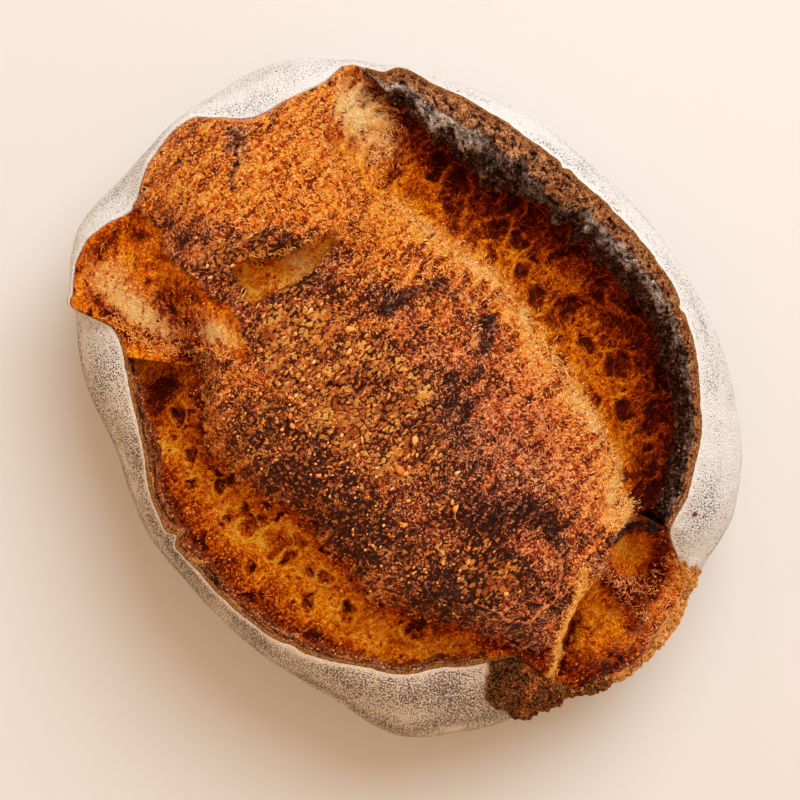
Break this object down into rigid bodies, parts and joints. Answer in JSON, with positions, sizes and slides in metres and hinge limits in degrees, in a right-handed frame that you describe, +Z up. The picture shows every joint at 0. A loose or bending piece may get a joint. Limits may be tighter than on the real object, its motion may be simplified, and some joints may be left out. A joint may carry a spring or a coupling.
{
  "type": "sourdough loaf",
  "caption": "Oval country sourdough loaf with a floured side crust, lifted charred flaps, torn golden crumb and a blistered dark crown.",
  "frame": {"origin": "on the surface that the loaf stands on, under the middle of its outline", "axes": "+X along the loaf towards its torn end, +Y towards the side with the tall charred flap, +Z up"},
  "size_m": [0.2597, 0.212, 0.1027],
  "materials": {
    "crust": "matte baked crust with a floured side"
  },
  "bodies": {
    "root": {"loaf": "crust"}
  },
  "joints": []
}
